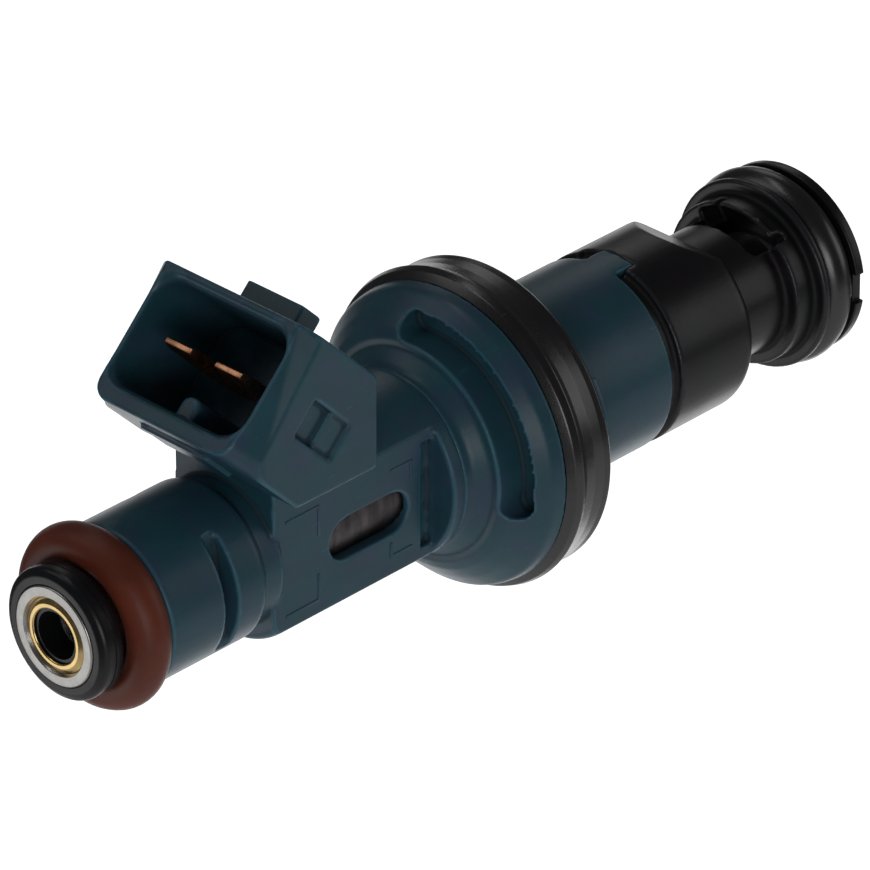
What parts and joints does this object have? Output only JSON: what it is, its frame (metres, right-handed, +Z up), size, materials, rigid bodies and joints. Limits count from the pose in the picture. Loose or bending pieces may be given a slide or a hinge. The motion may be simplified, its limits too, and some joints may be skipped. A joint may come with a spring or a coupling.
{
  "type": "fuel injector",
  "caption": "Air-shrouded top-feed solenoid fuel injector with a two-blade electrical socket, O-ring seals at both ends, and a lifting valve needle.",
  "frame": {"origin": "centre of the fuel inlet tube's end face", "axes": "+X along the injector from the fuel inlet to the spray end; +Z up, on the side where the electrical socket stands; Y across, between the coil box's two flat sides"},
  "size_m": [0.0776, 0.0252, 0.0331],
  "materials": {
    "slate_plastic": "semi-gloss moulded",
    "black_plastic": "satin moulded",
    "brown_rubber": "smooth",
    "black_rubber": "smooth",
    "bright_steel": "turned",
    "zinc_steel": "satin plated",
    "brass": "drawn",
    "copper_blade": "bright",
    "coil_wire": "enamelled",
    "nylon": "moulded",
    "mesh": "woven"
  },
  "bodies": {
    "injector": {"inlet_tube": "bright_steel", "filter_collar": "brass", "filter_basket": "black_plastic", "filter_mesh": "mesh", "inlet_retainer": "black_plastic", "inlet_seal": "brown_rubber", "connector_body": "slate_plastic", "terminals": "copper_blade", "coil_bobbin": "nylon", "coil_winding": "coil_wire", "magnet_housing": "zinc_steel", "yoke_ring": "bright_steel", "gap_sleeve": "bright_steel", "adjusting_sleeve": "bright_steel", "return_spring": "bright_steel", "ball_guide": "bright_steel", "valve_tube": "bright_steel", "valve_seat": "bright_steel", "orifice_plate": "bright_steel", "flange_sleeve": "slate_plastic", "flange_seal": "black_rubber", "shroud_seal": "black_rubber", "air_shroud": "black_plastic", "tip_seal": "black_rubber", "tip_ring": "black_plastic"},
    "needle": {"armature": "bright_steel", "valve_needle": "bright_steel", "valve_ball": "bright_steel"}
  },
  "joints": [
    {"name": "needle_lift", "type": "slide", "parent": "injector", "child": "needle", "axis": [-1, 0, 0], "range_m": [0, 0.0001], "stiffness_N_per_m": 1500, "springref_m": -0.002, "deforming": ["return_spring"]}
  ]
}
